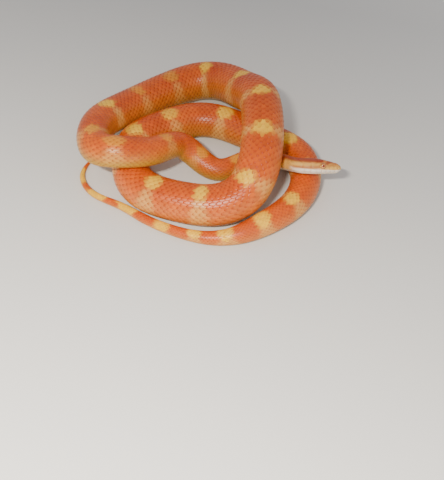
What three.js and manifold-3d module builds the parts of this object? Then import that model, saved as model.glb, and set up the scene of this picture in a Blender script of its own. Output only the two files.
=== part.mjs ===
// Corn snake, adult, life size, loosely coiled on a flat floor.
// Millimetres, +Z up. The origin is on the floor, under the middle of the coiled body.
// The body is one loft along a smooth route from the snout to the tip of the tail.
// Thin cuts across the route divide it into named lengths.
import * as THREE from 'three';
import { mergeVertices } from 'three/addons/utils/BufferGeometryUtils.js';
import Module from 'manifold-3d';

const wasm = await Module();
wasm.setup();

// Driving dimensions
const CUT_GAP = 0.4;
const TOP_SHARE = 0.49;
const BELLY_SHARE = 0.41;
const HEAD_END = 33;
const NECK_END = 72;
const VENT = 795;
const BODY_LENGTHS = 11;
const TAIL_NAMES = ['tail', 'tail_tip'];
const BODY_SIDES = 20;
const HEAD_SIDES = 48;
const RING_STEP = 4.6;
const HEAD_STEP = 0.62;
const SNOUT_START = 0.12;
const SNOUT_ROUNDING = 4.2;
const HEAD_ROLL = 0.56;
const ROLL_FADE = [36, 84];
const EYE_RADIUS = 2.05;
const EYE_STATION = 12.6;
const EYE_ANGLE = 1.16;
const EYE_SUNK = 1.15;
const SOCKET_GAP = 0.3;
const MOUTH_ANGLE = 2.02;
const MOUTH_LENGTH = 23;
const BACK_ROUNDNESS = 2.1;
const HEAD_SQUARENESS = 2.2;
const BELLY_SQUARENESS = 2.7;
const TAIL_ROUNDING = 60;
const CENTRE = [-9.72, 72.86];

// Route from the snout to the tail: x, y and the height of the belly above the floor.
// The rows are control points of a uniform cubic B-spline, about 20 mm apart.
const ROUTE = {
  head: [[74.8, 37.9, 20.0], [52.8, 35.7, 24.7]],
  neck: [[40.4, 49.4, 12.4], [23.2, 70.3, 3.6], [2.2, 52.0, 0]],
  innerBend: [[-11.5, 57.4, 0.4], [-27.9, 71.5, 12.4], [-42.0, 50.6, 18.0]],
  upperTurn: [[-62.1, 41.3, 28.0], [-81.2, 46.4, 23.0], [-83.8, 68.4, 18.6], [-80.4, 86.2, 12.8]],
  farSide: [[-67.2, 103.1, 6.4], [-53.4, 117.7, 2.4], [-36.5, 131.4, 0.2], [-17.0, 141.9, 0]],
  farTurn: [[2.8, 136.6, 3.2], [15.6, 115.9, 10.4], [24.7, 100.0, 20.4]],
  arch: [[26.2, 84.1, 22.8], [26.6, 63.8, 23.4], [24.4, 38.4, 18.0], [15.6, 22.2, 5.4]],
  nearSide: [[-3.5, 17.3, 0], [-24.2, 21.5, 0], [-45.1, 28.5, 0]],
  lowerTurn: [[-58.2, 40.8, 0], [-61.8, 64.4, 0], [-58.1, 81.5, 0]],
  middle: [[-38.5, 93.0, 0], [-18.6, 101.9, 0], [0.9, 98.6, 0], [21.3, 84.7, 0], [41.4, 75.7, 0]],
  outerSide: [[53.8, 63.3, 0], [55.8, 41.4, 0], [46.0, 22.1, 0], [29.0, 9.2, 0], [10.6, -1.3, 0]],
  tail: [[-9.4, -2.7, 0], [-29.4, 4.1, 0], [-48.7, 13.7, 0], [-65.4, 28.3, 0],
    [-85.4, 35.8, 0], [-96.1, 55.9, 0], [-86.1, 73.5, 0]],
};

// Width of the body at distances from the snout.
const GIRTH = [[36, 11.2], [58, 12.2], [83, 14.4], [103, 16.2], [127, 17.8], [157, 19.6], [186, 21.6],
  [225, 23.6], [264, 25.0], [303, 26.4], [343, 27.2], [392, 27.4], [460, 27.2], [509, 25.9], [558, 24.8],
  [627, 23.8], [675, 22.6], [715, 20.6], [744, 18.0], [768, 15.8], [781, 13.6], [795, 10.6], [805, 9.2],
  [822, 7.7], [842, 7.0], [861, 6.0], [881, 5.0], [903, 4.0], [915, 3.1], [929, 1.4]];

// Head: distance from the snout, half width, height above and depth below the route.
const HEAD_SHAPE = [[0, 3.6, 2.9, 2.5], [4.4, 4.5, 3.4, 3.0], [8.8, 5.3, 4.2, 3.5], [13.4, 6.2, 4.8, 4.0],
  [17.9, 7.1, 5.0, 4.4], [22.4, 7.8, 5.1, 4.7], [25.6, 8.0, 5.1, 4.8], [29.4, 7.2, 5.1, 4.7],
  [32.6, 6.2, 5.3, 4.6], [36, 5.6, 5.49, 4.59]];

// Edges of the head plates: distance from the snout against the share of the way round,
// 0 on the crown, 1 at the mouth line and 2 under the chin.
const PLATE_SEAMS = [
  [[1.8, 0], [9.4, 0]], [[1.8, 0], [2.1, 0.5]], [[4.9, 0], [4.7, 0.48]], [[2.1, 0.5], [9.6, 0.47]],
  [[9.4, 0], [9.9, 0.26]], [[9.9, 0.26], [9.6, 0.47]], [[9.9, 0.26], [15.2, 0.24]],
  [[15.2, 0.24], [17.5, 0]], [[15.2, 0.24], [16.4, 0.46]], [[17.5, 0], [25.3, 0]],
  [[16.4, 0.46], [21.7, 0.5]], [[21.7, 0.5], [26, 0.26]], [[26, 0.26], [25.3, 0]],
  [[1.7, 0.76], [23, 0.79]], [[6, 0.48], [5.8, 0.77]], [[8.5, 0.48], [8.6, 0.77]],
  [[18.4, 0.5], [18.1, 0.78]], [[21.7, 0.5], [22.2, 0.78]],
];
const LABIAL_FIRST = 2.4;
const LABIAL_STEP = 2.65;
const LABIALS = 8;
const UPPER_LABIAL = [0.77, 0.97];
const LOWER_LABIAL = [1.04, 1.26];
for (let i = 0; i < LABIALS; i += 1) {
  const station = LABIAL_FIRST + LABIAL_STEP * i;
  PLATE_SEAMS.push([[station, UPPER_LABIAL[0]], [station + 0.2, UPPER_LABIAL[1]]]);
  PLATE_SEAMS.push([[station, LOWER_LABIAL[0]], [station + 0.3, LOWER_LABIAL[1]]]);
}
PLATE_SEAMS.push([[1.8, LOWER_LABIAL[1]], [21.8, LOWER_LABIAL[1]]], [[4, 2], [15.2, 2]]);
const SEAM_DEPTH = 0.26;
const SEAM_WIDTH = 0.42;
const LIP_DEPTH = 0.5;
const LIP_WIDTH = 0.34;
const JAW_INSET = 0.35;
const PLATES_END = [24.6, 27.6];
const THINNEST_RADIUS = 1.5;
const NOSTRIL = { station: 3.6, angle: 0.62, radius: 0.55, depth: 0.7 };

const FINISH = {
  flesh: new THREE.MeshStandardMaterial({ color: 0xd9743a, roughness: 0.42, metalness: 0 }),
  eye: new THREE.MeshStandardMaterial({ color: 0x9c3a22, roughness: 0.08, metalness: 0 }),
};

// Monotone cubic interpolation of one column of a table of rows.
function between(rows, column, at) {
  const last = rows.length - 1;
  if (at <= rows[0][0]) return rows[0][column];
  if (at >= rows[last][0]) return rows[last][column];
  let i = 0;
  while (rows[i + 1][0] < at) i += 1;
  const slope = (k) => (rows[k + 1][column] - rows[k][column]) / (rows[k + 1][0] - rows[k][0]);
  const tangent = (k) => {
    if (k === 0) return slope(0);
    if (k === last) return slope(last - 1);
    const before = slope(k - 1);
    const after = slope(k);
    return before * after <= 0 ? 0 : (2 * before * after) / (before + after);
  };
  const h = rows[i + 1][0] - rows[i][0];
  const u = (at - rows[i][0]) / h;
  return rows[i][column] * (1 + 2 * u) * (1 - u) ** 2 + h * tangent(i) * u * (1 - u) ** 2
    + rows[i + 1][column] * u * u * (3 - 2 * u) + h * tangent(i + 1) * u * u * (u - 1);
}

function smoothStep(low, high, value) {
  const u = Math.min(1, Math.max(0, (value - low) / (high - low)));
  return u * u * (3 - 2 * u);
}

// Half width, top and bottom of the section, and how square its belly is.
function profile(station) {
  const bluff = 1 - Math.min(1, station / SNOUT_ROUNDING);
  const nose = Math.sqrt(Math.max(0, 1 - bluff * bluff));
  const isHead = station < HEAD_SHAPE[HEAD_SHAPE.length - 1][0];
  const girth = between(GIRTH, 1, station);
  return {
    half: isHead ? between(HEAD_SHAPE, 1, station) * nose : girth / 2,
    top: isHead ? between(HEAD_SHAPE, 2, station) * nose : girth * TOP_SHARE,
    bottom: isHead ? between(HEAD_SHAPE, 3, station) * nose : girth * BELLY_SHARE,
    square: HEAD_SQUARENESS + (BELLY_SQUARENESS - HEAD_SQUARENESS) * smoothStep(HEAD_END, NECK_END, station)
      * (1 - smoothStep(VENT, VENT + TAIL_ROUNDING, station)),
  };
}

// The route as a dense table of points, with the distance from the snout at each.
const SAMPLES_PER_SPAN = 40;
const FRAME_REACH = 1.2;
const route = buildRoute(Object.values(ROUTE).flat());

function buildRoute(control) {
  const count = control.length;
  const mirror = (end, inner) => end.map((value, axis) => 2 * value - inner[axis]);
  const points = [mirror(control[0], control[1]), ...control,
    mirror(control[count - 1], control[count - 2])];
  const flat = [];
  for (let span = 0; span < count - 1; span += 1) {
    for (let k = 0; k < SAMPLES_PER_SPAN; k += 1) {
      flat.push(splinePoint(points, span, k / SAMPLES_PER_SPAN));
    }
  }
  flat.push(splinePoint(points, count - 2, 1));
  // The belly's height is turned into the height of the section's middle in two passes,
  // because the girth depends on the distance along the finished curve.
  let stations = measure(flat);
  let raised = flat;
  for (let pass = 0; pass < 2; pass += 1) {
    raised = flat.map((p, i) => p.clone().setZ(p.z + BELLY_SHARE * between(GIRTH, 1, stations[i])));
    stations = measure(raised);
  }
  return { points: raised, stations, length: stations[stations.length - 1] };
}

function splinePoint(points, span, u) {
  const weights = [(1 - u) ** 3, 3 * u ** 3 - 6 * u ** 2 + 4, -3 * u ** 3 + 3 * u ** 2 + 3 * u + 1, u ** 3];
  const sum = [0, 0, 0];
  weights.forEach((weight, k) => {
    sum.forEach((value, axis) => {
      sum[axis] = value + (weight / 6) * points[span + k][axis];
    });
  });
  return new THREE.Vector3(sum[0] - CENTRE[0], sum[1] - CENTRE[1], Math.max(0, sum[2]));
}

function measure(points) {
  const stations = [0];
  for (let i = 1; i < points.length; i += 1) {
    stations.push(stations[i - 1] + points[i].distanceTo(points[i - 1]));
  }
  return stations;
}

function routePoint(station) {
  const { points, stations } = route;
  let low = 0;
  let high = stations.length - 1;
  while (high - low > 1) {
    const middle = (low + high) >> 1;
    if (stations[middle] > station) high = middle;
    else low = middle;
  }
  const share = (station - stations[low]) / (stations[high] - stations[low]);
  return points[low].clone().lerp(points[high], share);
}

// The middle of the section, with the directions to the tail, to the back and to the left.
function routeFrame(station) {
  const tailward = routePoint(Math.min(route.length, station + FRAME_REACH))
    .sub(routePoint(Math.max(0, station - FRAME_REACH))).normalize();
  const back = new THREE.Vector3(0, 0, 1).addScaledVector(tailward, -tailward.z).normalize();
  const left = new THREE.Vector3().crossVectors(tailward, back);
  const roll = HEAD_ROLL * (1 - smoothStep(ROLL_FADE[0], ROLL_FADE[1], station));
  const rolledBack = back.clone().multiplyScalar(Math.cos(roll)).addScaledVector(left, Math.sin(roll));
  const rolledLeft = left.clone().multiplyScalar(Math.cos(roll)).addScaledVector(back, -Math.sin(roll));
  return { middle: routePoint(station), tailward, back: rolledBack, left: rolledLeft };
}

// A point of the skin. The angle runs from 0 on the back, round by the left side.
function skinPoint(station, angle, relief = 0) {
  const frame = routeFrame(station);
  const shape = profile(station);
  const across = Math.sin(angle);
  const up = Math.cos(angle);
  const power = 2 / (up > 0 ? BACK_ROUNDNESS : shape.square);
  const height = up > 0 ? shape.top : shape.bottom;
  const side = Math.sign(across) * Math.abs(across) ** power;
  const rise = Math.sign(up) * Math.abs(up) ** power;
  const outward = 1 + relief / Math.max(THINNEST_RADIUS, Math.hypot(shape.half * side, height * rise));
  return frame.middle.clone()
    .addScaledVector(frame.left, shape.half * side * outward)
    .addScaledVector(frame.back, height * rise * outward);
}

function distanceToSeam(seam, station, around, scale) {
  const ax = seam[0][0];
  const ay = seam[0][1] * scale;
  const dx = seam[1][0] - ax;
  const dy = seam[1][1] * scale - ay;
  const along = ((station - ax) * dx + (around * scale - ay) * dy) / (dx * dx + dy * dy);
  const share = Math.min(1, Math.max(0, along));
  return Math.hypot(station - ax - share * dx, around * scale - ay - share * dy);
}

// 0 on the crown, 1 at the mouth line and 2 under the chin.
function shareAround(angle) {
  const turned = Math.abs(angle > Math.PI ? angle - 2 * Math.PI : angle);
  if (turned < MOUTH_ANGLE) return turned / MOUTH_ANGLE;
  return 1 + (turned - MOUTH_ANGLE) / (Math.PI - MOUTH_ANGLE);
}

// Raised plates, the line of the mouth and the nostrils, as a height over the plain head.
function headRelief(station, angle) {
  const around = shareAround(angle);
  const scale = MOUTH_ANGLE * profile(station).half;
  const nearest = Math.min(...PLATE_SEAMS.map((seam) => distanceToSeam(seam, station, around, scale)));
  const plated = 1 - smoothStep(PLATES_END[0], PLATES_END[1], station);
  const seam = -SEAM_DEPTH * plated * Math.exp(-((nearest / SEAM_WIDTH) ** 2));
  const mouthShare = 1 - smoothStep(MOUTH_LENGTH - 1.5, MOUTH_LENGTH, station);
  const lipLine = Math.abs(around - 1) * scale;
  const lip = -LIP_DEPTH * mouthShare * Math.exp(-((lipLine / LIP_WIDTH) ** 2));
  const below = around - 1;
  const jawInset = -JAW_INSET * mouthShare * smoothStep(0, 0.12, below) * (1 - smoothStep(0.5, 0.9, below));
  const nostrilAway = Math.hypot(station - NOSTRIL.station, (around - NOSTRIL.angle) * scale);
  const nostril = -NOSTRIL.depth * Math.exp(-((nostrilAway / NOSTRIL.radius) ** 2));
  return seam + lip + jawInset + nostril;
}

// A closed loft between two stations. Rings are joined by triangles and capped at both ends.
function loft(start, end, sides, step, relief, angles) {
  const count = Math.max(2, Math.round((end - start) / step));
  const stations = [];
  for (let i = 0; i <= count; i += 1) stations.push(start + ((end - start) * i) / count);
  const points = [];
  const faces = [];
  const ring = (row, k) => row * sides + (k % sides);
  for (const station of stations) {
    for (let k = 0; k < sides; k += 1) {
      const angle = angles(k);
      points.push(skinPoint(station, angle, relief ? relief(station, angle) : 0));
    }
  }
  for (let row = 0; row < count; row += 1) {
    for (let k = 0; k < sides; k += 1) {
      faces.push([ring(row, k), ring(row + 1, k + 1), ring(row + 1, k)]);
      faces.push([ring(row, k), ring(row, k + 1), ring(row + 1, k + 1)]);
    }
  }
  const first = points.push(routePoint(start)) - 1;
  const last = points.push(routePoint(end)) - 1;
  for (let k = 0; k < sides; k += 1) {
    faces.push([first, ring(0, k + 1), ring(0, k)]);
    faces.push([last, ring(count, k), ring(count, k + 1)]);
  }
  return toGeometry(points, faces);
}

function toGeometry(points, faces) {
  const geometry = new THREE.BufferGeometry();
  geometry.setAttribute('position', new THREE.Float32BufferAttribute(points.flatMap((p) => p.toArray()), 3));
  geometry.setIndex(faces.flat());
  return geometry;
}

function toSolid(geometry) {
  const plain = geometry.clone();
  plain.deleteAttribute('normal');
  plain.deleteAttribute('uv');
  const merged = mergeVertices(plain, 1e-5);
  return new wasm.Manifold(new wasm.Mesh({
    numProp: 3,
    vertProperties: new Float32Array(merged.attributes.position.array),
    triVerts: new Uint32Array(merged.index.array),
  }));
}

function fromSolid(solid) {
  const mesh = solid.getMesh();
  const geometry = new THREE.BufferGeometry();
  geometry.setAttribute('position', new THREE.BufferAttribute(mesh.vertProperties, 3));
  geometry.setIndex(new THREE.BufferAttribute(mesh.triVerts, 1));
  return geometry;
}

function named(name, geometry, material) {
  geometry.computeVertexNormals();
  const mesh = new THREE.Mesh(geometry, material);
  mesh.name = name;
  return mesh;
}

// A flat facet faces straight down, so the floor lengths rest on it.
const bodyAngle = (k) => ((k + 0.5) / BODY_SIDES) * 2 * Math.PI;
const headAngle = (k) => (k / HEAD_SIDES) * 2 * Math.PI;

function eyeCentre(angle) {
  const surface = skinPoint(EYE_STATION, angle);
  const inward = routePoint(EYE_STATION).sub(surface).normalize();
  return surface.addScaledVector(inward, EYE_SUNK);
}

function ball(radius, centre) {
  const geometry = new THREE.IcosahedronGeometry(radius, 4);
  geometry.translate(centre.x, centre.y, centre.z);
  return geometry;
}

function buildHead() {
  const plain = loft(SNOUT_START, HEAD_END - CUT_GAP / 2, HEAD_SIDES, HEAD_STEP, headRelief, headAngle);
  let solid = toSolid(plain);
  for (const angle of [EYE_ANGLE, -EYE_ANGLE]) {
    solid = solid.subtract(toSolid(ball(EYE_RADIUS + SOCKET_GAP, eyeCentre(angle))));
  }
  return named('head', fromSolid(solid), FINISH.flesh.clone());
}

function buildEye(name, angle) {
  return named(name, mergeVertices(stripped(ball(EYE_RADIUS, eyeCentre(angle))), 1e-5), FINISH.eye.clone());
}

function stripped(geometry) {
  geometry.deleteAttribute('normal');
  geometry.deleteAttribute('uv');
  return geometry;
}

function buildLength(name, start, end) {
  const geometry = loft(start + CUT_GAP / 2, end - CUT_GAP / 2, BODY_SIDES, RING_STEP, null, bodyAngle);
  return named(name, geometry, FINISH.flesh.clone());
}

const snake = new THREE.Group();
snake.add(buildHead());
snake.add(buildEye('eye_left', EYE_ANGLE));
snake.add(buildEye('eye_right', -EYE_ANGLE));
snake.add(buildLength('neck', HEAD_END, NECK_END));
const bodyStep = (VENT - NECK_END) / BODY_LENGTHS;
for (let i = 0; i < BODY_LENGTHS; i += 1) {
  const name = `body_${String(i + 1).padStart(2, '0')}`;
  snake.add(buildLength(name, NECK_END + bodyStep * i, NECK_END + bodyStep * (i + 1)));
}
const tailStep = (route.length - VENT) / TAIL_NAMES.length;
TAIL_NAMES.forEach((name, i) => {
  snake.add(buildLength(name, VENT + tailStep * i, VENT + tailStep * (i + 1)));
});

export default snake;
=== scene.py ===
# Corn snake, adult, life size, loosely coiled: skin, scales, head plates and eyes around the CAD frame.
# Sizes are millimetres along and across the body; they are turned into metres when a mesh is made.
import math

import bpy
import numpy as np
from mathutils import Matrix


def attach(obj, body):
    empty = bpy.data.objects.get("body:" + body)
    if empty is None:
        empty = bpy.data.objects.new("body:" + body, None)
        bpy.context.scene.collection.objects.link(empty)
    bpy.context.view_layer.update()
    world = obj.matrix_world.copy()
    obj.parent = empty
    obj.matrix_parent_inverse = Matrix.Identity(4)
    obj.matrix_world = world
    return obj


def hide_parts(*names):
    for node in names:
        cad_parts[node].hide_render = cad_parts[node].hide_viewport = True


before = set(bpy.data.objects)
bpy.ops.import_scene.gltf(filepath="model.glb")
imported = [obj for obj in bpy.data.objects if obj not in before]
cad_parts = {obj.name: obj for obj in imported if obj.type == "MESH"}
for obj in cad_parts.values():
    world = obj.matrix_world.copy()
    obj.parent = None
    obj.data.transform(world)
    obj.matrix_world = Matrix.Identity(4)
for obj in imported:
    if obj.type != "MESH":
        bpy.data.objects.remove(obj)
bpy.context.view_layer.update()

MM = 0.001

# Sizes of the body, the same as the solids'
TOP_SHARE = 0.49
BELLY_SHARE = 0.41
HEAD_END = 33.0
NECK_END = 72.0
VENT = 795.0
SNOUT_ROUNDING = 4.2
SNOUT_START = 0.12
HEAD_ROLL = 0.56
ROLL_FADE = (36.0, 84.0)
EYE_RADIUS = 2.05
EYE_STATION = 12.6
EYE_ANGLE = 1.16
EYE_SUNK = 1.15
MOUTH_ANGLE = 2.02
MOUTH_LENGTH = 23.0
PLATES_END = (24.6, 27.6)
HEAD_RELIEF_END = (28, 32)
CENTRE = (-9.72, 72.86)

# Route from the snout to the tail: x, y and the height of the belly above the floor.
# The rows are control points of a uniform cubic B-spline. They come from a least-squares fit to points
# picked on the photo, and some were then moved, at the head and the crossings.
ROUTE = {
    "head": [[74.8, 37.9, 20.0], [52.8, 35.7, 24.7]],
    "neck": [[40.4, 49.4, 12.4], [23.2, 70.3, 3.6], [2.2, 52.0, 0]],
    "inner_bend": [[-11.5, 57.4, 0.4], [-27.9, 71.5, 12.4], [-42.0, 50.6, 18.0]],
    "upper_turn": [[-62.1, 41.3, 28.0], [-81.2, 46.4, 23.0], [-83.8, 68.4, 18.6], [-80.4, 86.2, 12.8]],
    "far_side": [[-67.2, 103.1, 6.4], [-53.4, 117.7, 2.4], [-36.5, 131.4, 0.2], [-17.0, 141.9, 0]],
    "far_turn": [[2.8, 136.6, 3.2], [15.6, 115.9, 10.4], [24.7, 100.0, 20.4]],
    "arch": [[26.2, 84.1, 22.8], [26.6, 63.8, 23.4], [24.4, 38.4, 18.0], [15.6, 22.2, 5.4]],
    "near_side": [[-3.5, 17.3, 0], [-24.2, 21.5, 0], [-45.1, 28.5, 0]],
    "lower_turn": [[-58.2, 40.8, 0], [-61.8, 64.4, 0], [-58.1, 81.5, 0]],
    "middle": [[-38.5, 93.0, 0], [-18.6, 101.9, 0], [0.9, 98.6, 0], [21.3, 84.7, 0], [41.4, 75.7, 0]],
    "outer_side": [[53.8, 63.3, 0], [55.8, 41.4, 0], [46.0, 22.1, 0], [29.0, 9.2, 0], [10.6, -1.3, 0]],
    "tail": [[-9.4, -2.7, 0], [-29.4, 4.1, 0], [-48.7, 13.7, 0], [-65.4, 28.3, 0],
             [-85.4, 35.8, 0], [-96.1, 55.9, 0], [-86.1, 73.5, 0]],
}

# Width of the body at distances from the snout, computed from widths read off the photo.
GIRTH = np.array([
    [36, 11.2], [58, 12.2], [83, 14.4], [103, 16.2], [127, 17.8], [157, 19.6], [186, 21.6], [225, 23.6],
    [264, 25.0], [303, 26.4], [343, 27.2], [392, 27.4], [460, 27.2], [509, 25.9], [558, 24.8], [627, 23.8],
    [675, 22.6], [715, 20.6], [744, 18.0], [768, 15.8], [781, 13.6], [795, 10.6], [805, 9.2], [822, 7.7],
    [842, 7.0], [861, 6.0], [881, 5.0], [903, 4.0], [915, 3.1], [929, 1.4]])

# Head: distance from the snout, half width, height above and depth below the route.
HEAD_SHAPE = np.array([
    [0, 3.6, 2.9, 2.5], [4.4, 4.5, 3.4, 3.0], [8.8, 5.3, 4.2, 3.5], [13.4, 6.2, 4.8, 4.0],
    [17.9, 7.1, 5.0, 4.4], [22.4, 7.8, 5.1, 4.7], [25.6, 8.0, 5.1, 4.8], [29.4, 7.2, 5.1, 4.7],
    [32.6, 6.2, 5.3, 4.6], [36, 5.6, 5.49, 4.59]])

# Edges of the head plates: distance from the snout against the share of the way round,
# 0 on the crown, 1 at the mouth line and 2 under the chin.
PLATE_SEAMS = [
    [[1.8, 0], [9.4, 0]], [[1.8, 0], [2.1, 0.5]], [[4.9, 0], [4.7, 0.48]], [[2.1, 0.5], [9.6, 0.47]],
    [[9.4, 0], [9.9, 0.26]], [[9.9, 0.26], [9.6, 0.47]], [[9.9, 0.26], [15.2, 0.24]],
    [[15.2, 0.24], [17.5, 0]], [[15.2, 0.24], [16.4, 0.46]], [[17.5, 0], [25.3, 0]],
    [[16.4, 0.46], [21.7, 0.5]], [[21.7, 0.5], [26, 0.26]], [[26, 0.26], [25.3, 0]],
    [[1.7, 0.76], [23, 0.79]], [[6, 0.48], [5.8, 0.77]], [[8.5, 0.48], [8.6, 0.77]],
    [[18.4, 0.5], [18.1, 0.78]], [[21.7, 0.5], [22.2, 0.78]],
]
LABIAL_FIRST = 2.4
LABIAL_STEP = 2.65
LABIALS = 8
UPPER_LABIAL = (0.77, 0.97)
LOWER_LABIAL = (1.04, 1.26)
for i in range(LABIALS):
    labial = LABIAL_FIRST + LABIAL_STEP * i
    PLATE_SEAMS.append([[labial, UPPER_LABIAL[0]], [labial + 0.2, UPPER_LABIAL[1]]])
    PLATE_SEAMS.append([[labial, LOWER_LABIAL[0]], [labial + 0.3, LOWER_LABIAL[1]]])
PLATE_SEAMS += [[[1.8, LOWER_LABIAL[1]], [21.8, LOWER_LABIAL[1]]], [[4, 2], [15.2, 2]]]
SEAM_DEPTH = 0.24
SEAM_WIDTH = 0.2
LIP_DEPTH = 0.5
LIP_WIDTH = 0.26
NOSTRIL = {"station": 3.6, "around": 0.62, "radius": 0.42, "depth": 0.75}

# Coat: rows of small overlapping scales on the back and sides, one wide plate after another on the belly
SKIN_INSET = 0.42
INSET_START = (20, 29)
BARE_START = (27, 37)
BARE_SHADE = (0.76, 0.56, 0.46)
# Colour multiplied in along the scales' free edges and the head's lines: painted shade of the gaps between
# the scales, the mouth line, the nostrils and the eye sockets.
PAINTED_SHADE_COLOUR = (0.66, 0.38, 0.24)
BAKE_PATCH = 0.003
DORSAL_START = 23.5
COAT_PIECE_SCALES = 1800
DORSAL_ROWS = 27
DORSAL_REACH = 0.77
BELLY_EDGE = 0.735
TAIL_ZONES = [(VENT, 848.0, 15), (848.0, 884.0, 9), (884.0, 926.0, 7)]
PITCH_BASE = 1.3
PITCH_PER_GIRTH = 0.095
SCALE_OVERLAP = 1.55
SCALE_LIFT = 0.33
SCALE_SINK = 0.16
SEED = 7

# Middles of the yellow blotches along the back, the faint ones and the long ones of the tail.
# Most middles were computed from points picked on the photo.
BLOTCHES = [52, 79, 108, 137, 172, 193, 228, 258, 288, 317, 355, 386, 418, 449, 485, 517, 545, 573, 601,
            640, 664, 689, 716, 745, 769, 793, 813, 835, 863, 887, 908]
BLOTCH_LENGTH = 4.6
BLOTCH_WIDTH = 0.155
TAIL_BLOTCH_WIDTH = 0.45
BAR_REACH = 0.62
FAINT_BLOTCHES = {52: 0.5, 79: 0.5, 108: 0.45, 137: 0.4, 172: 0.4, 193: 0.5, 258: 0.35, 288: 0.35, 601: 0.75}
LONG_BLOTCHES = {835: 6.0, 863: 7.5, 887: 8.0, 908: 8.0}


def between(rows, column, at):
    """Monotone cubic interpolation of one column of a table of rows."""
    x = rows[:, 0].astype(float)
    y = rows[:, column].astype(float)
    slope = np.diff(y) / np.diff(x)
    tangent = np.empty_like(y)
    tangent[0], tangent[-1] = slope[0], slope[-1]
    product = slope[:-1] * slope[1:]
    total = slope[:-1] + slope[1:]
    tangent[1:-1] = np.where(product <= 0, 0, 2 * product / np.where(total == 0, 1, total))
    at = np.clip(at, x[0], x[-1])
    i = np.clip(np.searchsorted(x, at, side="left") - 1, 0, len(x) - 2)
    h = x[i + 1] - x[i]
    u = (at - x[i]) / h
    return (y[i] * (1 + 2 * u) * (1 - u) ** 2 + h * tangent[i] * u * (1 - u) ** 2
            + y[i + 1] * u * u * (3 - 2 * u) + h * tangent[i + 1] * u * u * (u - 1))


def smooth_step(low, high, value):
    u = np.clip((value - low) / (high - low), 0, 1)
    return u * u * (3 - 2 * u)


def build_route():
    """The route's dense points and the distance of each from the snout."""
    samples = 40
    control = np.array([row for rows in ROUTE.values() for row in rows], float)
    control = np.vstack([2 * control[0] - control[1], control, 2 * control[-1] - control[-2]])
    u = np.arange(samples) / samples
    weights = np.stack([(1 - u) ** 3, 3 * u ** 3 - 6 * u ** 2 + 4,
                        -3 * u ** 3 + 3 * u ** 2 + 3 * u + 1, u ** 3], 1) / 6
    spans = [weights @ control[k:k + 4] for k in range(len(control) - 3)]
    end = (control[-3] + 4 * control[-2] + control[-1]) / 6
    points = np.vstack(spans + [end])
    points[:, 0] -= CENTRE[0]
    points[:, 1] -= CENTRE[1]
    points[:, 2] = np.maximum(0, points[:, 2])
    stations = measure(points)
    raised = points
    for _ in range(2):
        raised = points.copy()
        raised[:, 2] += BELLY_SHARE * between(GIRTH, 1, stations)
        stations = measure(raised)
    return raised, stations


def measure(points):
    return np.concatenate([[0], np.cumsum(np.linalg.norm(np.diff(points, axis=0), axis=1))])


ROUTE_POINTS, ROUTE_STATIONS = build_route()
LENGTH = ROUTE_STATIONS[-1]


def route_point(station):
    return np.stack([np.interp(station, ROUTE_STATIONS, ROUTE_POINTS[:, k]) for k in range(3)], -1)


def route_frame(station):
    """Directions to the back and to the left of the body, and towards the tail."""
    reach = 1.2
    ahead = route_point(np.minimum(LENGTH, station + reach))
    behind = route_point(np.maximum(0, station - reach))
    tailward = ahead - behind
    tailward /= np.linalg.norm(tailward, axis=-1, keepdims=True)
    back = np.array([0, 0, 1.0]) - tailward * tailward[..., 2:3]
    back /= np.linalg.norm(back, axis=-1, keepdims=True)
    left = np.cross(tailward, back)
    roll = (HEAD_ROLL * (1 - smooth_step(*ROLL_FADE, station)))[..., None]
    return back * np.cos(roll) + left * np.sin(roll), left * np.cos(roll) - back * np.sin(roll), tailward


def profile(station):
    """Half width, top, bottom and squareness of the belly at each station."""
    bluff = 1 - np.minimum(1, station / SNOUT_ROUNDING)
    nose = np.sqrt(np.maximum(0, 1 - bluff * bluff))
    head = station < HEAD_SHAPE[-1, 0]
    girth = between(GIRTH, 1, station)
    half = np.where(head, between(HEAD_SHAPE, 1, station) * nose, girth / 2)
    top = np.where(head, between(HEAD_SHAPE, 2, station) * nose, girth * TOP_SHARE)
    bottom = np.where(head, between(HEAD_SHAPE, 3, station) * nose, girth * BELLY_SHARE)
    on_body = smooth_step(HEAD_END, NECK_END, station) * (1 - smooth_step(VENT, VENT + 60, station))
    square = 2.2 + 0.5 * on_body
    return half, top, bottom, square


def skin_point(station, angle, relief=0.0):
    """Points of the skin in millimetres. The angle runs from 0 on the back, round by the left side."""
    station, angle = np.broadcast_arrays(np.asarray(station, float), np.asarray(angle, float))
    back, left, _ = route_frame(station)
    half, top, bottom, square = profile(station)
    across, up = np.sin(angle), np.cos(angle)
    power = 2 / np.where(up > 0, 2.1, square)
    height = np.where(up > 0, top, bottom)
    side = half * np.sign(across) * np.abs(across) ** power
    rise = height * np.sign(up) * np.abs(up) ** power
    outward = (1 + relief / np.maximum(0.45, np.hypot(side, rise)))
    return (route_point(station) + left * (side * outward)[..., None] + back * (rise * outward)[..., None])


def arc_table():
    """Share of the way round, 0 on the back and 1 under the belly, against the angle of the section."""
    angle = np.linspace(0, math.pi, 600)
    power = np.where(np.cos(angle) > 0, 2 / 2.1, 2 / 2.7)
    x = 0.5 * np.abs(np.sin(angle)) ** power
    height = np.where(np.cos(angle) > 0, TOP_SHARE, BELLY_SHARE)
    y = height * np.sign(np.cos(angle)) * np.abs(np.cos(angle)) ** power
    arc = np.concatenate([[0], np.cumsum(np.hypot(np.diff(x), np.diff(y)))])
    return arc / arc[-1], angle


ARC, ARC_ANGLE = arc_table()


def angle_of(arc):
    return np.sign(arc) * np.interp(np.abs(arc), ARC, ARC_ANGLE)


def arc_of(angle):
    return np.interp(np.abs(angle), ARC_ANGLE, ARC)


def seam_distance(seam, station, around, scale):
    ax, ay = seam[0][0], seam[0][1] * scale
    dx, dy = seam[1][0] - ax, seam[1][1] * scale - ay
    share = np.clip(((station - ax) * dx + (around * scale - ay) * dy) / (dx * dx + dy * dy), 0, 1)
    return np.hypot(station - ax - share * dx, around * scale - ay - share * dy)


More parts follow.
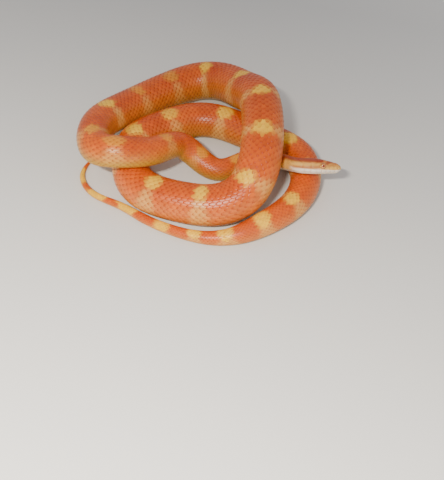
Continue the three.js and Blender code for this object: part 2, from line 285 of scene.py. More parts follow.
def around_head(angle):
    turned = np.abs(np.where(angle > math.pi, angle - 2 * math.pi, angle))
    return np.where(turned < MOUTH_ANGLE, turned / MOUTH_ANGLE,
                    1 + (turned - MOUTH_ANGLE) / (math.pi - MOUTH_ANGLE))


def head_distances(station, angle):
    """How far each point is from a plate's edge, the mouth line, the nostril and the middle of the eye."""
    around = around_head(angle)
    scale = MOUTH_ANGLE * profile(station)[0]
    plate = np.full(np.shape(station), 99.0)
    for seam in PLATE_SEAMS:
        plate = np.minimum(plate, seam_distance(seam, station, around, scale))
    mouth = np.abs(around - 1) * scale
    nostril = np.hypot(station - NOSTRIL["station"], (around - NOSTRIL["around"]) * scale)
    eye = np.hypot(station - EYE_STATION, (around - EYE_ANGLE / MOUTH_ANGLE) * scale)
    return around, plate, mouth, nostril, eye


def plated_share(station):
    return 1 - smooth_step(*PLATES_END, station)


def mouth_share(station):
    return 1 - smooth_step(MOUTH_LENGTH - 1.5, MOUTH_LENGTH, station)


def head_lines_and_shade(station, angle):
    """How dark the skin is along the plates' edges, with painted shade along the mouth line, in the nostrils
    and round the eyes.
    """
    _, plate, mouth, nostril, eye = head_distances(station, angle)
    seams = 0.42 * plated_share(station) * np.exp(-((plate / 0.24) ** 2))
    # Painted shade in the mouth line, in the nostril hollows and in the sockets round the eyes.
    lip = 0.95 * mouth_share(station) * np.exp(-((mouth / 0.26) ** 2))
    nostril_shade = np.exp(-((nostril / 0.42) ** 2))
    socket_shade = 0.6 * np.exp(-(((eye - 1.75) / 0.3) ** 2))
    return np.maximum.reduce([seams, lip, nostril_shade, socket_shade])


def head_relief(station, angle):
    """Raised plates, the mouth line, the nostrils and the rim of the eye over the plain head."""
    around, nearest, mouth_line, away, eye = head_distances(station, angle)
    plated = plated_share(station)
    seams = -SEAM_DEPTH * plated * np.exp(-((nearest / SEAM_WIDTH) ** 2))
    crown = 0.1 * plated * np.minimum(1, nearest / 1.2)
    mouth = mouth_share(station)
    lip = -LIP_DEPTH * mouth * np.exp(-((mouth_line / LIP_WIDTH) ** 2))
    jaw = -0.35 * mouth * smooth_step(0, 0.12, around - 1) * (1 - smooth_step(0.5, 0.9, around - 1))
    nostril = -NOSTRIL["depth"] * np.exp(-((away / NOSTRIL["radius"]) ** 2))
    nostril += 0.12 * np.exp(-(((away - 0.75) / 0.3) ** 2))
    rim = 0.16 * np.exp(-(((eye - 2.35) / 0.42) ** 2)) - 0.3 * np.exp(-(((eye - 1.75) / 0.3) ** 2))
    return seams + crown + lip + jaw + nostril + rim


# Markings: every mask is worked out from the distance from the snout and the share of the way round.
def ripple(station, arc, size, seed):
    """A smooth wandering value between -1 and 1."""
    rng = np.random.default_rng(seed)
    total = 0
    for _ in range(5):
        a, b = rng.normal(0, 1 / size, 2)
        total = total + np.sin(a * station + b * arc * 30 + rng.uniform(0, 6.28))
    return total / 3


def blotch_mask(station, arc):
    """The blotches on the back, and the paler bars that go on from them down the flanks."""
    side = np.abs(arc)
    wander = ripple(station, arc, 2.6, 3) * 0.2
    tail = smooth_step(VENT - 60, VENT + 20, station)
    blotch = np.zeros(np.shape(station))
    bar = np.zeros(np.shape(station))
    for number, middle in enumerate(BLOTCHES):
        rng = np.random.default_rng(100 + number)
        strength = FAINT_BLOTCHES.get(middle, 1.0)
        long = LONG_BLOTCHES.get(middle, BLOTCH_LENGTH) * rng.uniform(0.9, 1.1)
        lean = rng.uniform(-0.02, 0.02)
        wide = (BLOTCH_WIDTH + (TAIL_BLOTCH_WIDTH - BLOTCH_WIDTH) * tail) * rng.uniform(0.92, 1.12)
        along = np.abs(station - middle) / long
        across = np.abs(arc - lean) / wide
        size = (along ** 2.3 + across ** 2.3) ** (1 / 2.3) + wander
        blotch = np.maximum(blotch, strength * (1 - smooth_step(0.84, 1.16, size)))
        # The bar begins narrow under the blotch and widens down the flank.
        half = long * (0.62 + 0.7 * np.clip((side - BLOTCH_WIDTH) / (BAR_REACH - BLOTCH_WIDTH), 0, 1))
        shape = 1 - smooth_step(0.6, 1.25, np.abs(station - middle) / half + wander)
        shape *= smooth_step(0.1, 0.24, side)
        shape *= 1 - 0.4 * smooth_step(BAR_REACH - 0.1, BAR_REACH + 0.12, side)
        bar = np.maximum(bar, (0.4 + 0.6 * strength) * shape)
    start = smooth_step(34, 48, station)
    return blotch * start, bar * start


def stroke(points, width, station, arc, soft=0.5):
    """1 near a chain of points on the head, given as distance from the snout and share of the way round."""
    half = np.maximum(2.0, 2.0 * profile(station)[0])
    nearest = np.full(np.shape(station), 99.0)
    for a, b in zip(points[:-1], points[1:]):
        nearest = np.minimum(nearest, seam_distance([a, b], station, np.abs(arc), half))
    return 1 - smooth_step(width - soft, width + soft, nearest)


def markings(station, arc):
    """The masks of the markings and of the painted leaf shade on the flanks, as named values between 0 and
    1.
    """
    side = np.abs(arc)
    blotch, bar = blotch_mask(station, arc)
    head = 1 - smooth_step(34, 46, station)
    crown = stroke([[14.0, 0.10], [24, 0.12], [38, 0.14]], 1.9, station, arc, 0.9)
    crown = np.maximum(crown, 0.8 * stroke([[6.8, 0.0], [9.2, 0.16], [10.8, 0.27]], 0.9, station, arc, 0.7))
    crown = np.maximum(crown, 0.9 * stroke([[19, 0.20], [26, 0.22], [40, 0.20]], 1.1, station, arc, 0.8))
    postocular = stroke([[15.0, 0.43], [19, 0.45], [26.0, 0.52]], 0.95, station, arc, 0.8)
    preocular = stroke([[6.2, 0.28], [10.2, 0.38]], 0.7, station, arc, 0.6)
    red = np.clip(np.maximum(crown, np.maximum(postocular * 0.75, preocular * 0.4)), 0, 1)
    spot = stroke([[38, 0.36], [45, 0.40]], 2.0, station, arc, 1.2)
    pale = smooth_step(0.47, 0.57, side + 0.02 * ripple(station, arc, 1.6, 5))
    pale = pale * (1 - smooth_step(25, 31, station))
    belly = smooth_step(BELLY_EDGE - 0.03, BELLY_EDGE + 0.03, side)
    flank = smooth_step(0.12, 0.60, side)
    # Painted shade and green reflection from a leaf: the flanks of the front of the body and of the stretch
    # through the middle of the coil are painted tanner.
    middle = smooth_step(560, 590, station) * (1 - smooth_step(690, 720, station))
    leaf_shade = 1 - smooth_step(390, 440, station) * (1 - middle)
    # The olive-yellow edge of the belly reaches higher along the front of the body.
    front = 1 - smooth_step(180, 240, station)
    edge = np.exp(-(((side - (BELLY_EDGE - 0.03 - 0.08 * front)) / (0.09 + 0.06 * front)) ** 2))
    edge = edge * smooth_step(40, 80, station)
    return {"blotch": blotch, "bar": bar, "head": head, "red": red * head, "pale": pale, "belly": belly,
            "flank": flank, "edge": edge, "leaf_shade": leaf_shade, "spot": spot}


def skin_colour(station, arc):
    """Base colour of the skin in linear light, mixed from the masks."""
    mask = markings(station, arc)

    def mix(a, b, share):
        return a + (b - a) * share[..., None]

    tone = 0.5 + 0.5 * ripple(station, arc, 3.5, 11)
    colour = mix(np.array(PALETTE["orange"]), np.array(PALETTE["orange_deep"]), tone * 0.7)
    # Painted leaf shade: the flanks are painted tanner and greener where this mask is set.
    flank = mix(np.array(PALETTE["flank"]), np.array(PALETTE["flank_leaf_shade"]), mask["leaf_shade"])
    colour = mix(colour, flank, mask["flank"] * 0.62)
    colour = mix(colour, np.array(PALETTE["bar"]), mask["bar"] * 0.62)
    colour = mix(colour, np.array(PALETTE["blotch"]), mask["blotch"])
    # The olive-yellow edge is painted stronger in the painted leaf shade.
    colour = mix(colour, np.array(PALETTE["edge"]), mask["edge"] * (0.45 + 0.4 * mask["leaf_shade"]))
    crown = np.array(PALETTE["head"]) + 0 * colour
    head_ground = mix(crown, np.array(PALETTE["head_side"]), smooth_step(0.1, 0.4, np.abs(arc)))
    colour = mix(colour, head_ground, mask["head"])
    colour = mix(colour, np.array(PALETTE["orange_deep"]), mask["spot"] * 0.8)
    colour = mix(colour, np.array(PALETTE["red"]), mask["red"] * 0.9)
    colour = mix(colour, np.array(PALETTE["labial"]), mask["pale"] * (1 - 0.8 * mask["red"]))
    return mix(colour, np.array(PALETTE["belly"]), mask["belly"])


def linear(red, green, blue):
    """A colour in linear light from its 0 to 255 screen values."""
    values = [v / 255 for v in (red, green, blue)]
    return tuple(v / 12.92 if v <= 0.04045 else ((v + 0.055) / 1.055) ** 2.4 for v in values)


PALETTE = {
    "orange": linear(222, 96, 14),
    "orange_deep": linear(192, 70, 8),
    "flank": linear(230, 140, 66),
    # The flank's colour in the painted shade and leaf reflection.
    "flank_leaf_shade": linear(210, 146, 58),
    "bar": linear(240, 182, 92),
    "blotch": linear(252, 190, 44),
    "edge": linear(190, 146, 34),
    "belly": linear(238, 222, 190),
    "head": linear(216, 124, 46),
    "head_side": linear(242, 188, 92),
    "red": linear(160, 48, 16),
    "labial": linear(246, 232, 214),
}


def unwrap(station, arc):
    """Place on the unrolled skin: the head and neck get three tenths of the width."""
    head_share = 0.3
    u = np.where(station < NECK_END, head_share * station / NECK_END,
                 head_share + (1 - head_share) * (station - NECK_END) / (LENGTH - NECK_END))
    return np.clip(np.stack([0.004 + 0.99 * u, 0.5 + 0.494 * arc], -1), 0.001, 0.999)


def make_mesh(name, points, faces, colours, uvs, extras):
    """A mesh object in metres with a colour, the unwrap and named values at its vertices."""
    mesh = bpy.data.meshes.new(name)
    if isinstance(faces, list):
        sizes = np.array([len(face) for face in faces])
        flat = np.concatenate([np.asarray(face).ravel() for face in faces])
    else:
        sizes = np.full(len(faces), faces.shape[1])
        flat = faces.ravel()
    mesh.vertices.add(len(points))
    mesh.vertices.foreach_set("co", (points * MM).ravel())
    mesh.loops.add(len(flat))
    mesh.loops.foreach_set("vertex_index", flat.astype(np.int32))
    mesh.polygons.add(len(sizes))
    mesh.polygons.foreach_set("loop_start", np.concatenate([[0], np.cumsum(sizes)[:-1]]).astype(np.int32))
    mesh.polygons.foreach_set("use_smooth", np.ones(len(sizes), bool))
    mesh.update(calc_edges=True)
    paint = mesh.color_attributes.new("marking", "FLOAT_COLOR", "POINT")
    rgba = np.ones((len(points), 4))
    rgba[:, :3] = colours
    paint.data.foreach_set("color", rgba.ravel())
    for label, values in extras.items():
        mesh.attributes.new(label, "FLOAT", "POINT").data.foreach_set("value", np.asarray(values, float))
    layer = mesh.uv_layers.new(name="OFBake")
    layer.data.foreach_set("uv", uvs[flat].ravel())
    mesh.validate()
    piece = bpy.data.objects.new(name, mesh)
    bpy.context.scene.collection.objects.link(piece)
    return piece


def skin_material(name, scaly):
    """Satin scaled skin. The markings and the painted shade come from the mesh; the grain, sheen and bump
    are nodes.
    """
    material = bpy.data.materials.new(name)
    material.use_nodes = True
    nodes, links = material.node_tree.nodes, material.node_tree.links
    shader = nodes["Principled BSDF"]
    paint = nodes.new("ShaderNodeAttribute")
    paint.attribute_name = "marking"
    rim = nodes.new("ShaderNodeAttribute")
    rim.attribute_name = "rim"
    tint = nodes.new("ShaderNodeAttribute")
    tint.attribute_name = "tint"
    place = nodes.new("ShaderNodeTexCoord")
    speckle = nodes.new("ShaderNodeTexNoise")
    speckle.inputs["Scale"].default_value = 900
    speckle.inputs["Detail"].default_value = 4
    links.new(place.outputs["Object"], speckle.inputs["Vector"])
    grain = nodes.new("ShaderNodeTexNoise")
    grain.inputs["Scale"].default_value = 5200
    grain.inputs["Detail"].default_value = 2
    links.new(place.outputs["Object"], grain.inputs["Vector"])

    # The colour wanders a little from scale to scale and within each.
    wander = nodes.new("ShaderNodeMapRange")
    wander.inputs["To Min"].default_value = 0.9
    wander.inputs["To Max"].default_value = 1.1
    links.new(speckle.outputs["Fac"], wander.inputs["Value"])
    brighten = nodes.new("ShaderNodeVectorMath")
    brighten.operation = "SCALE"
    links.new(paint.outputs["Color"], brighten.inputs[0])
    links.new(wander.outputs["Result"], brighten.inputs["Scale"])
    vary = nodes.new("ShaderNodeVectorMath")
    vary.operation = "SCALE"
    links.new(brighten.outputs["Vector"], vary.inputs[0])
    links.new(tint.outputs["Fac"], vary.inputs["Scale"])

    # Each scale darkens and reddens towards its free edge, painted shade of the dark gaps between the
    # scales; on the head this mix paints the shade in the mouth line, the nostrils and round the eyes, and
    # darkens the plates' edges.
    shade_mix = nodes.new("ShaderNodeMix")
    shade_mix.data_type = "RGBA"
    shade_mix.blend_type = "MULTIPLY"
    links.new(rim.outputs["Fac"], shade_mix.inputs["Factor"])
    links.new(vary.outputs["Vector"], shade_mix.inputs["A"])
    shade_mix.inputs["B"].default_value = (*PAINTED_SHADE_COLOUR, 1)
    links.new(shade_mix.outputs["Result"], shader.inputs["Base Color"])

    bump = nodes.new("ShaderNodeBump")
    bump.inputs["Strength"].default_value = 0.25
    bump.inputs["Distance"].default_value = 0.00008
    links.new(grain.outputs["Fac"], bump.inputs["Height"])
    links.new(bump.outputs["Normal"], shader.inputs["Normal"])
    gloss = nodes.new("ShaderNodeMapRange")
    gloss.inputs["To Min"].default_value = 0.24 if scaly else 0.34
    gloss.inputs["To Max"].default_value = 0.38 if scaly else 0.50
    links.new(speckle.outputs["Fac"], gloss.inputs["Value"])
    links.new(gloss.outputs["Result"], shader.inputs["Roughness"])
    shader.inputs["IOR"].default_value = 1.5
    shader.inputs["Specular IOR Level"].default_value = 0.36
    shader.inputs["Subsurface Weight"].default_value = 0.04
    shader.inputs["Subsurface Radius"].default_value = (1.0, 0.35, 0.15)
    shader.inputs["Subsurface Scale"].default_value = 0.0012
    return material


def build_skin():
    """One skin from the snout to the tip of the tail, finer on the head."""
    head_sides, body_sides = 192, 96
    head_stations = np.linspace(SNOUT_START, HEAD_END, 140)
    body_stations = np.arange(HEAD_END + 0.5, LENGTH - 0.2, 1.5)
    points, stations, arcs, faces, lines = [], [], [], [], []
    count = 0

    def ring_block(ring_stations, sides):
        nonlocal count
        angle = np.arange(sides) / sides * 2 * math.pi
        grid_s, grid_a = np.meshgrid(ring_stations, angle, indexing="ij")
        signed = np.where(grid_a > math.pi, grid_a - 2 * math.pi, grid_a)
        inset = SKIN_INSET * smooth_step(0, 1.5, grid_s) * smooth_step(*INSET_START, grid_s)
        inset = inset * np.minimum(1, between(GIRTH, 1, grid_s) / 6)
        relief = head_relief(grid_s, grid_a) * (1 - smooth_step(*HEAD_RELIEF_END, grid_s)) - inset
        points.append(skin_point(grid_s, grid_a, relief).reshape(-1, 3))
        # Dark plate edges, and painted shade of the head's mouth line, nostrils and eye sockets.
        lines.append((head_lines_and_shade(grid_s, grid_a) * (1 - smooth_step(*HEAD_RELIEF_END, grid_s))).ravel())
        stations.append(grid_s.ravel())
        arcs.append((np.sign(signed) * arc_of(signed)).ravel())
        first = count
        count += grid_s.size
        index = first + np.arange(grid_s.size).reshape(grid_s.shape)
        around = np.roll(index, -1, axis=1)
        quads = np.stack([index[:-1], around[:-1], around[1:], index[1:]], -1).reshape(-1, 4)
        faces.extend(quads.tolist())
        return index

    head = ring_block(head_stations, head_sides)
    body = ring_block(body_stations, body_sides)
    last, first = head[-1], body[0]
    for k in range(body_sides):
        a0, a1, a2 = last[2 * k], last[2 * k + 1], last[(2 * k + 2) % head_sides]
        b0, b1 = first[k], first[(k + 1) % body_sides]
        faces.extend([[a0, a1, b0], [a1, b1, b0], [a1, a2, b1]])
    for ring, station, flip in ((head[0], 0.0, True), (body[-1], LENGTH, False)):
        points.append(route_point(np.array([station])))
        stations.append(np.array([station]))
        arcs.append(np.array([0.0]))
        lines.append(np.array([0.0]))
        for k in range(len(ring)):
            pair = [ring[k], ring[(k + 1) % len(ring)]]
            faces.append([count] + (pair[::-1] if flip else pair))
        count += 1
    points, stations, arcs = np.vstack(points), np.concatenate(stations), np.concatenate(arcs)
    colour = skin_colour(stations, arcs)
    # Between the scales of the body the skin is darker and redder.
    bare = smooth_step(*BARE_START, stations)
    colour = colour * (1 - bare[:, None] * (1 - np.array(BARE_SHADE)))
    extras = {"rim": np.concatenate(lines), "tint": np.ones(len(points))}
    piece = make_mesh("skin", points, faces, colour, unwrap(stations, arcs), extras)
    piece.data.materials.append(skin_material("snake_skin", False))
    return piece


def pitch_at(station):
    return PITCH_BASE + PITCH_PER_GIRTH * np.maximum(between(GIRTH, 1, station), 3.0)


def lattice_stations(start, end):
    """Stations one scale apart."""
    fine = np.arange(start, end, 0.25)
    steps = np.concatenate([[0], np.cumsum(0.25 / pitch_at(fine))[:-1]])
    count = int(steps[-1])
    return np.interp(np.arange(0, count + 0.001, 0.5), steps, fine)


SCALE_ROWS = 7
SCALE_COLUMNS = 5


def scale_outline(share):
    """Half width of a scale from its root, 0, to its rounded tip, 1."""
    body = np.sin(math.pi * np.clip(0.16 + 0.62 * share, 0, 1)) ** 0.9
    tip = np.sqrt(np.maximum(0, 1 - smooth_step(0.45, 1.0, share) ** 2.2))
    return body * np.maximum(tip, 0.06)


def scale_template():
    """Share along, share across and height of a scale's upper side, and the faces of the closed scale."""
    along = np.linspace(0, 1, SCALE_ROWS)
    across = np.linspace(-1, 1, SCALE_COLUMNS)
    grid_u, grid_v = np.meshgrid(along, across, indexing="ij")
    index = np.arange(grid_u.size).reshape(grid_u.shape)
    border = np.concatenate([index[0, :], index[1:, -1], index[-1, -2::-1], index[-2:0:-1, 0]])
    size = grid_u.size
    faces = []
    for r in range(SCALE_ROWS - 1):
        for c in range(SCALE_COLUMNS - 1):
            faces.append([index[r, c], index[r, c + 1], index[r + 1, c + 1]])
            faces.append([index[r, c], index[r + 1, c + 1], index[r + 1, c]])
    for k in range(len(border)):
        a, b = border[k], border[(k + 1) % len(border)]
        low_a, low_b = size + k, size + (k + 1) % len(border)
        faces.append([a, low_a, low_b])
        faces.append([a, low_b, b])
        faces.append([size + len(border), low_b, low_a])
    return grid_u.ravel(), grid_v.ravel(), border, np.array(faces)


def build_scales(name, roots, arcs, widths, lengths, lifts, seed):
    """Many overlapping scales as one mesh of closed, thin, domed plates."""
    u, v, border, faces = scale_template()
    rng = np.random.default_rng(seed)
    count = len(roots)
    outline = scale_outline(u)
    low_u = np.concatenate([u[border], [0.5]])
    low_v = np.concatenate([v[border], [0.0]])
    low_outline = np.concatenate([outline[border], [0.0]])
    dome = (1 - v ** 2) * 0.20 + 0.16 * np.exp(-((v / 0.18) ** 2)) * (u > 0.1)
    rise = -SCALE_SINK + (0.30 + 0.70 * u ** 0.8) + dome - 0.24 * np.abs(v) ** 2.4
    low_rise = np.concatenate([rise[border] - 0.46, [-0.5]])
    all_u = np.concatenate([u, low_u])
    all_v = np.concatenate([v * outline, low_v * low_outline])
    all_rise = np.concatenate([rise, low_rise])
    jitter = rng.uniform(-0.03, 0.03, (count, 1))
    station = roots[:, None] + (all_u[None] - 0.35 + jitter) * lengths[:, None]
    station = np.clip(station, 0.5, LENGTH - 0.15)
    arc = arcs[:, None] + all_v[None] * widths[:, None]
    arc = np.where(np.abs(arc) > 1, np.sign(arc) * (2 - np.abs(arc)), arc)
    inset = SKIN_INSET * np.minimum(1, between(GIRTH, 1, roots) / 6)
    relief = all_rise[None] * lifts[:, None] - inset[:, None]
    points = skin_point(station, angle_of(arc), relief).reshape(-1, 3)
    per = len(all_u)
    offsets = (np.arange(count) * per)[:, None, None]
    all_faces = (faces[None] + offsets).reshape(-1, 3)
    root_colour = skin_colour(roots, arcs)
    colour = 0.45 * skin_colour(station, arc) + 0.55 * root_colour[:, None, :]
    # Painted shade towards each scale's free edge and sides, standing for the dark gaps between the scales.
    edge = np.concatenate([np.maximum(smooth_step(0.62, 1.0, u), 0.75 * smooth_step(0.7, 1.0, np.abs(v))),
                           np.ones(len(low_u))])
    tint = rng.normal(1.0, 0.05, (count, 1)) * np.ones((1, per))
    # Each scale's patch of the bake lies at its root's place on the unrolled skin.
    centre = unwrap(roots, arcs)[:, None, :]
    uvs = centre + np.stack([(all_u - 0.5) * BAKE_PATCH, all_v * 0.5 * BAKE_PATCH], -1)[None]
    # The painted shade at the rims is faint on the blotches and on the head.
    soft = 1 - 0.5 * np.maximum(blotch_mask(roots, arcs)[0], 1 - smooth_step(24, 50, roots))
    extras = {"rim": (soft[:, None] * edge[None] * 0.9).ravel(), "tint": tint.ravel()}
    piece = make_mesh(name, points, all_faces, colour.reshape(-1, 3), uvs.reshape(-1, 2), extras)
    return piece


def dorsal_scales():
    """Roots of the scales of the back and sides, in rows that alternate by half a scale."""
    zones = [(DORSAL_START, VENT, DORSAL_ROWS)] + TAIL_ZONES
    roots, arcs, widths, lengths, lifts = [], [], [], [], []
    for start, end, rows in zones:
        stations = lattice_stations(start, end)
        spacing = 2 * DORSAL_REACH / rows
        for row in range(rows):
            arc = -DORSAL_REACH + spacing * (row + 0.5)
            chosen = stations[(row % 2)::2]
            if start < 30:
                chosen = chosen[chosen > 26.0 + 1.5 * math.cos(arc * 4) - 2.0 * (abs(arc) > 0.45)]
            # The lowest rows are larger.
            grow = 1.0 + 0.22 * float(smooth_step(0.5, DORSAL_REACH, np.array(abs(arc))))
            roots.append(chosen)
            arcs.append(np.full(len(chosen), arc))
            widths.append(np.full(len(chosen), spacing * 1.02 * grow))
            lengths.append(pitch_at(chosen) * SCALE_OVERLAP)
            half_round = 1.5 * between(GIRTH, 1, chosen)
            lifts.append(SCALE_LIFT * np.clip(half_round * spacing / 2.2, 0.3, 1.0) * 0.9)
    return [np.concatenate(part) for part in (roots, arcs, widths, lengths, lifts)]


def gular_scales():
    """Small scales under the jaw, between the chin plates and the belly plates."""
    roots, arcs, widths, lengths, lifts = [], [], [], [], []
    spacing = 0.062
    rows = [0.80 + spacing * k for k in range(4)]
    for sign in (-1, 1):
        for number, arc in enumerate(rows):
            chosen = np.arange(17.5 + 0.65 * (number % 2), 30.0, 1.3)
            roots.append(chosen)
            arcs.append(np.full(len(chosen), sign * arc))
            widths.append(np.full(len(chosen), spacing * 1.05))
            lengths.append(np.full(len(chosen), 2.0))
            lifts.append(np.full(len(chosen), 0.2))
    return [np.concatenate(part) for part in (roots, arcs, widths, lengths, lifts)]


def belly_plates():
    """The wide plates of the belly, each lapping the next, and the like plates under the tail."""
    columns, rows = 25, 6
    stations = lattice_stations(29.0, VENT - 3.0)[::2]
    tail = lattice_stations(VENT - 2.0, LENGTH - 4.0)[::2]
    points, colours, uvs, faces, rims, tints = [], [], [], [], [], []
    rng = np.random.default_rng(SEED + 3)
    v = np.linspace(-1, 1, columns)
    u = np.linspace(0, 1, rows)
    count = 0
    for station in np.concatenate([stations, tail]):
        pitch = float(pitch_at(np.array([station]))[0])
        reach = (1 - BELLY_EDGE) + 0.035
        grid_u, grid_v = np.meshgrid(u, v, indexing="ij")
        free = 1 - 0.10 * grid_v ** 2
        along = station + (grid_u * 1.32 * free - 0.2) * pitch
        along = np.clip(along, 0.5, LENGTH - 0.15)
        arc = 1 + grid_v * reach
        arc = np.where(arc > 1, arc - 2, arc)
        girth = between(GIRTH, 1, along)
        thick = 0.30 * np.clip(girth / 12, 0.25, 1)
        inset = SKIN_INSET * np.minimum(1, girth / 6)
        side_fade = 1 - np.abs(grid_v) ** 8
        upper = thick * (0.15 + 0.85 * grid_u) * side_fade - inset - 0.03
        lower = upper - 0.22
        signed = angle_of(arc)
        top = skin_point(along, signed, upper)
        low = skin_point(along, signed, lower)
        size = grid_u.size
        index = count + np.arange(size).reshape(grid_u.shape)
        quads = np.stack([index[:-1, :-1], index[:-1, 1:], index[1:, 1:], index[1:, :-1]], -1).reshape(-1, 4)
        under = quads[:, ::-1] + size
        border = np.concatenate([index[0, :], index[1:, -1], index[-1, -2::-1], index[-2:0:-1, 0]])
        after = np.roll(border, -1)
        walls = np.stack([border, border + size, after + size, after], -1)
        faces.extend([quads, under, walls])
        points.extend([top.reshape(-1, 3), low.reshape(-1, 3)])
        tone = skin_colour(along, arc).reshape(-1, 3)
        colours.extend([tone, tone])
        # Painted shade towards each belly plate's free edge, where it laps the next.
        rim = smooth_step(0.75, 1.0, grid_u).ravel() * 0.35
        rims.extend([rim, rim])
        tints.append(np.full(2 * size, rng.normal(1.0, 0.02)))
        centre = unwrap(np.array([station]), np.array([0.985]))
        spread = np.stack([grid_u.ravel() - 0.5, grid_v.ravel() * 0.5], -1)
        patch = centre + spread * BAKE_PATCH
        uvs.extend([patch, patch])
        count += 2 * size
    points = np.vstack(points)
    extras = {"rim": np.concatenate(rims), "tint": np.concatenate(tints)}
    return make_mesh("belly_plates", points, np.vstack(faces), np.vstack(colours), np.vstack(uvs), extras)


def eye_frame(angle):
    """Centre of the eyeball and the direction that it looks in."""
    station = np.array([EYE_STATION])
    surface = skin_point(station, np.array([angle]))[0]
    middle = route_point(station)[0]
    inward = (middle - surface) / np.linalg.norm(middle - surface)
    tailward = route_frame(station)[2][0]
    out = -inward - tailward * 0.06
    out /= np.linalg.norm(out)
    return surface + inward * EYE_SUNK, out


def eye_material():
    """Red pupil in an orange iris with fine flecks, under a clear wet coat."""
    material = bpy.data.materials.new("eye")
    material.use_nodes = True
    nodes, links = material.node_tree.nodes, material.node_tree.links
    shader = nodes["Principled BSDF"]
    axis = nodes.new("ShaderNodeAttribute")
    axis.attribute_name = "from_axis"
    ramp = nodes.new("ShaderNodeValToRGB")
    stops = [(0.0, linear(118, 22, 8)), (0.30, linear(140, 32, 10)), (0.38, linear(232, 132, 36)),
             (0.56, linear(246, 176, 74)), (0.68, linear(224, 118, 36)), (0.80, linear(96, 34, 14))]
    while len(ramp.color_ramp.elements) < len(stops):
        ramp.color_ramp.elements.new(0.5)
    for element, (place, colour) in zip(ramp.color_ramp.elements, stops):
        element.position = place
        element.color = (*colour, 1)
    links.new(axis.outputs["Fac"], ramp.inputs["Fac"])
    place = nodes.new("ShaderNodeTexCoord")
    fleck = nodes.new("ShaderNodeTexNoise")
    fleck.inputs["Scale"].default_value = 2600
    links.new(place.outputs["Object"], fleck.inputs["Vector"])
    blend = nodes.new("ShaderNodeMix")
    blend.data_type = "RGBA"
    blend.blend_type = "MULTIPLY"
    blend.inputs["Factor"].default_value = 0.35
    links.new(ramp.outputs["Color"], blend.inputs["A"])
    links.new(fleck.outputs["Fac"], blend.inputs["B"])
    links.new(blend.outputs["Result"], shader.inputs["Base Color"])
    shader.inputs["Roughness"].default_value = 0.12
    shader.inputs["Coat Weight"].default_value = 1.0
    shader.inputs["Coat Roughness"].default_value = 0.03
    return material


def build_eye(name, angle, material):
    """A round eyeball, with the distance from its axis at each vertex."""
    centre, out = eye_frame(angle)
    side = np.cross(out, [0, 0, 1.0])
    side /= np.linalg.norm(side)
    up = np.cross(side, out)
    rings, sides = 28, 48
    turn = np.linspace(0.02, math.pi - 0.02, rings)
    round_ = np.arange(sides) / sides * 2 * math.pi
    grid_t, grid_r = np.meshgrid(turn, round_, indexing="ij")
    direction = (out * np.cos(grid_t)[..., None] + side * (np.sin(grid_t) * np.cos(grid_r))[..., None]
                 + up * (np.sin(grid_t) * np.sin(grid_r))[..., None])
    points = (centre + EYE_RADIUS * direction).reshape(-1, 3)
    index = np.arange(rings * sides).reshape(rings, sides)
    around = np.roll(index, -1, axis=1)
    faces = np.stack([index[:-1], index[1:], around[1:], around[:-1]], -1).reshape(-1, 4).tolist()
    poles = [centre + EYE_RADIUS * out, centre - EYE_RADIUS * out]
    front, rear = rings * sides, rings * sides + 1
    for k in range(sides):
        faces.append([front, index[0, k], around[0, k]])
        faces.append([rear, around[-1, k], index[-1, k]])
    points = np.vstack([points, poles])
    from_axis = np.concatenate([np.sin(np.minimum(grid_t, math.pi / 2)).ravel() * 0.98, [0, 1]])
    uvs = np.concatenate([0.5 + 0.4 * direction.reshape(-1, 3)[:, [0, 2]], [[0.5, 0.5], [0.5, 0.5]]])
    piece = make_mesh(name, points, faces, np.full((len(points), 3), 0.5), uvs, {"from_axis": from_axis})
    piece.data.materials.append(material)
    return piece


FLESH = ["head", "neck"] + [f"body_{i:02d}" for i in range(1, 12)] + ["tail", "tail_tip"]


def add_snake():
    skin = build_skin()
    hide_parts(*FLESH)
    coat_material = skin_material("snake_scales", True)
    roots, arcs, widths, lengths, lifts = dorsal_scales()
    order = np.argsort(roots, kind="stable")
    pieces = [skin]
    for number, first in enumerate(range(0, len(order), COAT_PIECE_SCALES)):
        chosen = order[first:first + COAT_PIECE_SCALES]
        pieces.append(build_scales(f"scales_{number + 1}", roots[chosen], arcs[chosen], widths[chosen],
                                   lengths[chosen], lifts[chosen], SEED + number))
    pieces.append(build_scales("chin_scales", *gular_scales(), SEED + 50))
    pieces.append(belly_plates())
    for piece in pieces[1:]:
        piece.data.materials.append(coat_material)
    for piece in pieces:
        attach(piece, "root")
    material = eye_material()
    for name, angle in (("eye_left", EYE_ANGLE), ("eye_right", -EYE_ANGLE)):
        eye = build_eye(name + "_ball", angle, material)
        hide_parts(name)
        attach(eye, "root")


# The camera looks down at the coil from the photograph's side.
CAMERA_ELEVATION = math.radians(50.0)
CAMERA_DISTANCE = 530.0
FOCAL_PIXELS = 850.0
FRAME_HEIGHT_PIXELS = 480.0
SENSOR = 36.0


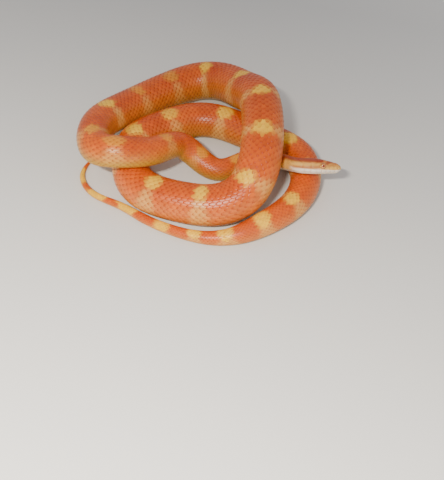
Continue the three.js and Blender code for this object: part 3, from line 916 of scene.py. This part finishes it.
def add_camera():
    data = bpy.data.cameras.new("camera")
    data.sensor_width = SENSOR
    data.lens = SENSOR * FOCAL_PIXELS / FRAME_HEIGHT_PIXELS
    data.clip_start = 0.01
    camera = bpy.data.objects.new("camera", data)
    camera.location = (-CENTRE[0] * MM, (-CAMERA_DISTANCE * math.cos(CAMERA_ELEVATION) - CENTRE[1]) * MM,
                       CAMERA_DISTANCE * math.sin(CAMERA_ELEVATION) * MM)
    camera.rotation_euler = (math.pi / 2 - CAMERA_ELEVATION, 0, 0)
    bpy.context.scene.collection.objects.link(camera)
    bpy.context.scene.camera = camera


def add_floor():
    """A wide pale floor."""
    half = 3.0
    mesh = bpy.data.meshes.new("floor")
    corners = [(-half, -half, 0), (half, -half, 0), (half, half, 0), (-half, half, 0)]
    mesh.from_pydata(corners, [], [(0, 1, 2, 3)])
    floor = bpy.data.objects.new("floor", mesh)
    material = bpy.data.materials.new("floor")
    material.use_nodes = True
    shader = material.node_tree.nodes["Principled BSDF"]
    shader.inputs["Base Color"].default_value = (*linear(222, 219, 213), 1)
    shader.inputs["Roughness"].default_value = 0.75
    mesh.materials.append(material)
    bpy.context.scene.collection.objects.link(floor)


def add_light(name, location, target, size, power, colour):
    data = bpy.data.lights.new(name, "AREA")
    data.shape = "DISK"
    data.size = size
    data.energy = power
    data.color = colour
    light = bpy.data.objects.new(name, data)
    light.location = location
    direction = np.array(target) - np.array(location)
    yaw = math.atan2(direction[0], -direction[1])
    pitch = math.atan2(math.hypot(direction[0], direction[1]), -direction[2])
    light.rotation_euler = (pitch, 0, yaw)
    bpy.context.scene.collection.objects.link(light)


def add_lights():
    world = bpy.data.worlds.new("studio")
    world.use_nodes = True
    world.node_tree.nodes["Background"].inputs["Color"].default_value = (0.97, 0.97, 1.0, 1)
    world.node_tree.nodes["Background"].inputs["Strength"].default_value = 0.62
    bpy.context.scene.world = world
    add_light("key", (-0.15, -0.50, 0.62), (0, 0, 0.02), 0.11, 34.0, (1.0, 0.95, 0.87))
    add_light("fill", (0.7, 0.1, 0.7), (0, 0, 0.02), 0.6, 6.0, (0.96, 0.97, 1.0))


add_snake()
add_floor()
add_lights()
add_camera()
